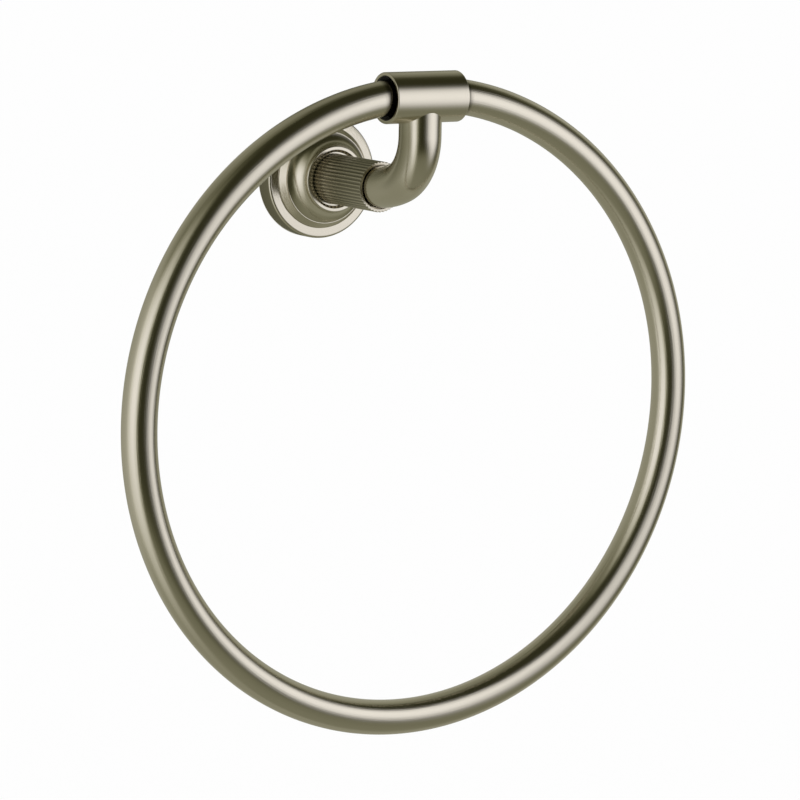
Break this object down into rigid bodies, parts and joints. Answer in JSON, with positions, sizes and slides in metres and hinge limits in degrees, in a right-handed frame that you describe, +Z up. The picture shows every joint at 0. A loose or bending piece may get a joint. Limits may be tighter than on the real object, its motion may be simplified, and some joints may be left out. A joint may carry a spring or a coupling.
{
  "type": "towel ring",
  "caption": "Wall towel holder: a round ring swings in a short sleeve on a bent arm, carried by a fluted post and a stepped turned rosette.",
  "frame": {"origin": "on the wall plane, at the middle of the rosette's back, on the post's axis", "axes": "+Y into the wall, so the post runs out along -Y; +Z up; X along the sleeve the ring swings in"},
  "size_m": [0.2028, 0.0702, 0.2043],
  "materials": {
    "brushed_nickel": "satin brushed nickel plate",
    "cast_zinc": "bare casting",
    "plain_steel": "zinc-plated",
    "black_nylon": "moulded, matt"
  },
  "bodies": {
    "wall_mount": {"wall_bracket": "cast_zinc", "rosette": "brushed_nickel", "rosette_set_screw": "plain_steel", "post": "brushed_nickel", "post_bolt": "plain_steel", "post_bolt_washer": "plain_steel", "arm": "brushed_nickel", "ring_sleeve": "brushed_nickel", "sleeve_bush_left": "black_nylon", "sleeve_bush_right": "black_nylon"},
    "hanging_ring": {"towel_ring": "brushed_nickel"}
  },
  "joints": [
    {"name": "ring_swing", "type": "hinge", "parent": "wall_mount", "child": "hanging_ring", "pos_m": [0, -0.0624, 0.0293], "axis": [-1, 0, 0], "range_deg": [-17, 197]}
  ]
}
